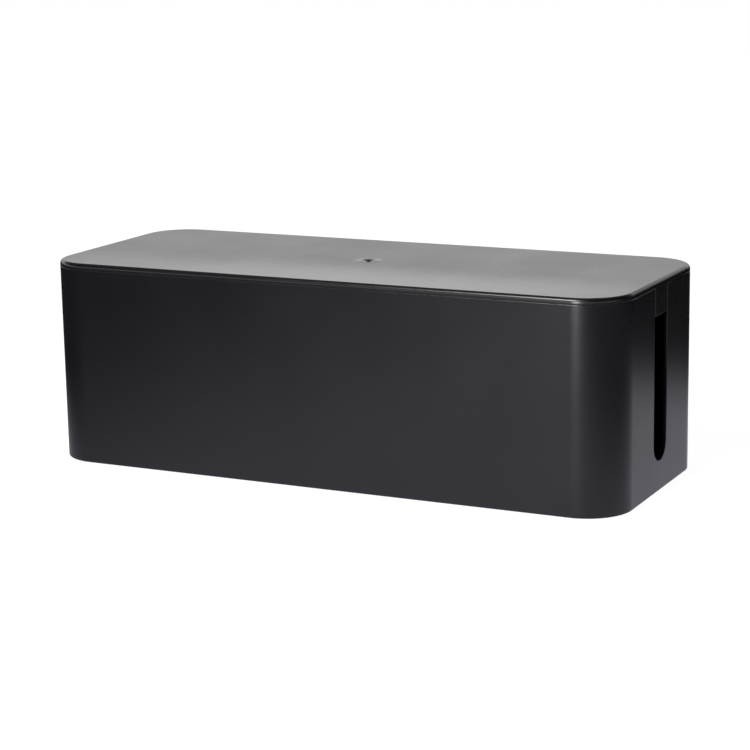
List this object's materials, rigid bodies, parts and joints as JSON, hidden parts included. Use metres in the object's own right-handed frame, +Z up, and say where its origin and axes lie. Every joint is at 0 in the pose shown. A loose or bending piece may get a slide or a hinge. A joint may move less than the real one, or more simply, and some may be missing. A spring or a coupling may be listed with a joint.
{
  "type": "cable management box",
  "caption": "Long low box with round corners and a lift-off lid that hides a power strip; a cable slot in each end wall and a small dimple in the middle of the lid.",
  "frame": {"origin": "on the table, under the middle of the box", "axes": "+X along the box's length, +Y towards its back, +Z up"},
  "size_m": [0.407, 0.162, 0.137],
  "materials": {
    "tub_plastic": "satin black moulded plastic with a very fine grain",
    "lid_plastic": "satin black moulded plastic with a very fine grain",
    "foot_rubber": "matt black rubber"
  },
  "bodies": {
    "base": {"tub": "tub_plastic", "foot_front_left": "foot_rubber", "foot_front_right": "foot_rubber", "foot_back_left": "foot_rubber", "foot_back_right": "foot_rubber"},
    "cover": {"lid": "lid_plastic"}
  },
  "joints": [
    {"name": "lid_lift", "type": "slide", "parent": "base", "child": "cover", "axis": [0, 0, 1], "range_m": [0, 0.08]}
  ]
}
